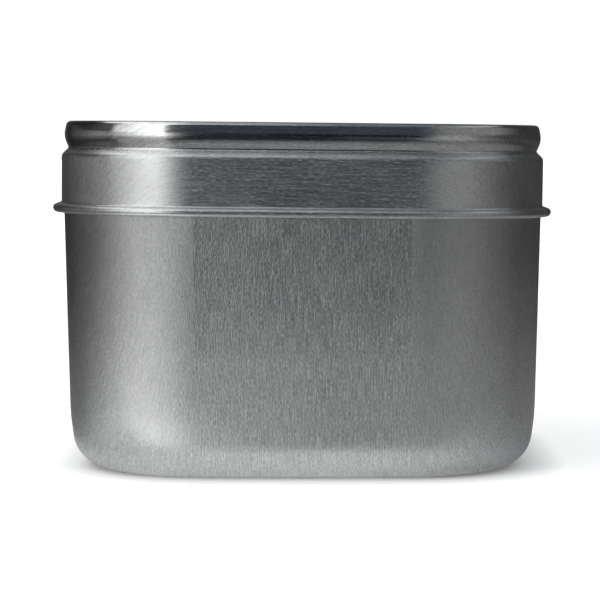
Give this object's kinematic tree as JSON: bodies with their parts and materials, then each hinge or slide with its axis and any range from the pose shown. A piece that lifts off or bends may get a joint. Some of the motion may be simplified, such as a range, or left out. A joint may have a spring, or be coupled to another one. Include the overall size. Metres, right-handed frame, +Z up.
{
  "type": "window lid tin",
  "caption": "Square pressed-steel storage tin with rounded corners, and a slip-on lid with a clear window, a groove and a rolled bead.",
  "frame": {"origin": "middle of the base, on the surface that the tin stands on", "axes": "+Z up through the lid, +X to the right and -Y towards the viewer of the picture; the tin is the same from each of its four sides"},
  "size_m": [0.1, 0.1, 0.0694],
  "materials": {
    "tinplate": "fine rolling grain, satin",
    "clear_window": "clear and glossy"
  },
  "bodies": {
    "tin": {"tin_body": "tinplate"},
    "lid": {"lid_shell": "tinplate", "window_pane": "clear_window"}
  },
  "joints": [
    {"name": "lid_lift", "type": "slide", "parent": "tin", "child": "lid", "axis": [0, 0, 1], "range_m": [0, 0.06]}
  ]
}
